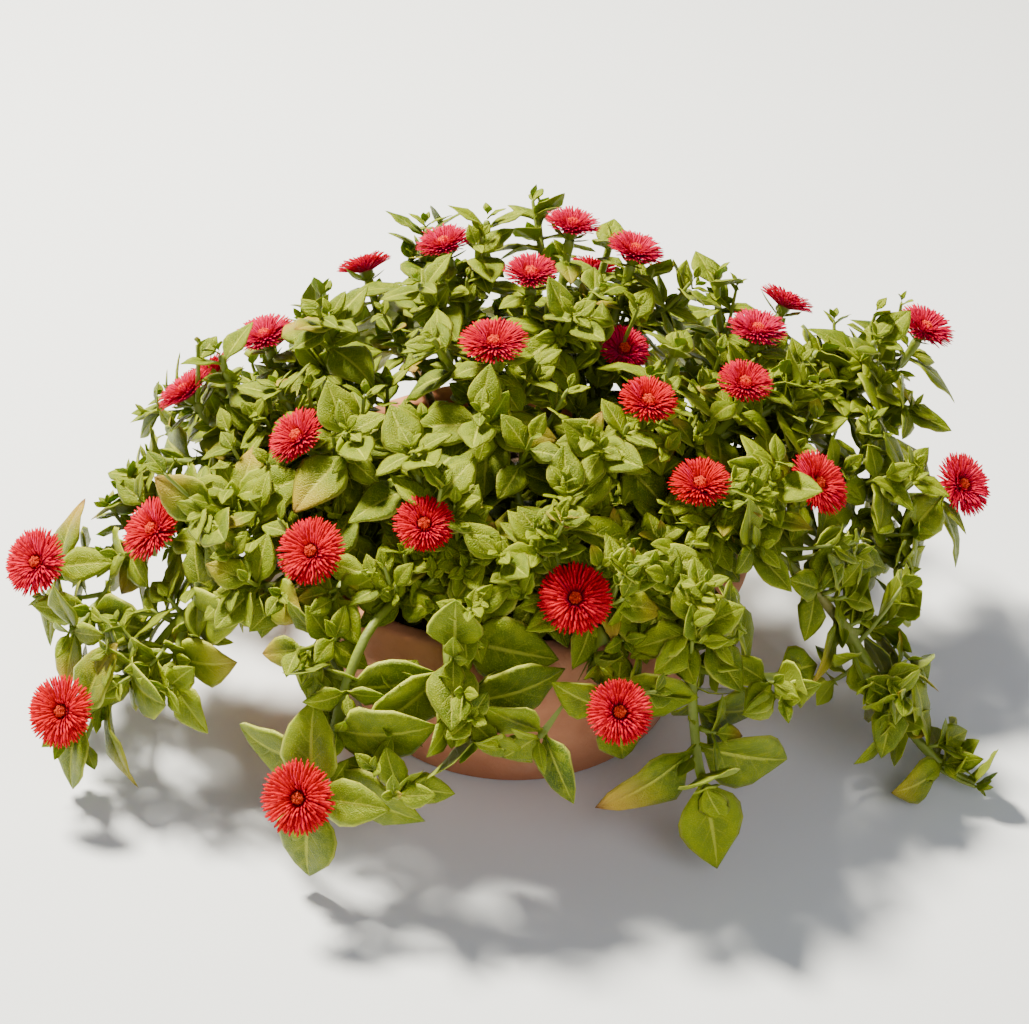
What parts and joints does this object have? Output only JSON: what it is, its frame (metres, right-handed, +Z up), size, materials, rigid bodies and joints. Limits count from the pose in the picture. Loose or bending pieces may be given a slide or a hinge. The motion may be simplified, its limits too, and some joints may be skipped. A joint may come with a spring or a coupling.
{
  "type": "potted heartleaf ice plant",
  "caption": "Trailing succulent with small heart-shaped leaves and red daisy-like blooms, spilling over the rim of a low clay pot.",
  "frame": {"origin": "centre of the underside of the pot's foot, on the surface that the pot stands on", "axes": "+Z up, along the pot's axis; +X to the viewer's right in the picture, along the mound's longest side; -Y towards the viewer"},
  "size_m": [0.2539, 0.1997, 0.123],
  "materials": {
    "terracotta": "matt, unglazed",
    "soil": "matt, crumbly",
    "leaves": "satin, fleshy, finely glistening",
    "petals": "satin"
  },
  "bodies": {
    "root": {"pot": "terracotta", "soil": "soil", "leafy_stem_01": "leaves", "leafy_stem_02": "leaves", "leafy_stem_03": "leaves", "leafy_stem_04": "leaves", "leafy_stem_05": "leaves", "leafy_stem_06": "leaves", "leafy_stem_07": "leaves", "leafy_stem_08": "leaves", "leafy_stem_09": "leaves", "leafy_stem_10": "leaves", "leafy_stem_11": "leaves", "leafy_stem_12": "leaves", "leafy_stem_13": "leaves", "leafy_stem_14": "leaves", "leafy_stem_15": "leaves", "leafy_stem_16": "leaves", "leafy_stem_17": "leaves", "leafy_stem_18": "leaves", "leafy_stem_19": "leaves", "leafy_stem_20": "leaves", "leafy_stem_21": "leaves", "leafy_stem_22": "leaves", "leafy_stem_23": "leaves", "leafy_stem_24": "leaves", "leafy_stem_25": "leaves", "leafy_stem_26": "leaves", "leafy_stem_27": "leaves", "leafy_stem_28": "leaves", "leafy_stem_29": "leaves", "leafy_stem_30": "leaves", "bloom_01": "petals", "bloom_02": "petals", "bloom_03": "petals", "bloom_04": "petals", "bloom_05": "petals", "bloom_06": "petals", "bloom_07": "petals", "bloom_08": "petals", "bloom_09": "petals", "bloom_10": "petals", "bloom_11": "petals", "bloom_12": "petals", "bloom_13": "petals", "bloom_14": "petals", "bloom_15": "petals", "bloom_16": "petals", "bloom_17": "petals", "bloom_18": "petals", "bloom_19": "petals", "bloom_20": "petals", "bloom_21": "petals", "bloom_22": "petals", "bloom_23": "petals", "bloom_24": "petals", "bloom_25": "petals", "bloom_26": "petals", "bloom_27": "petals", "bloom_28": "petals"}
  },
  "joints": []
}
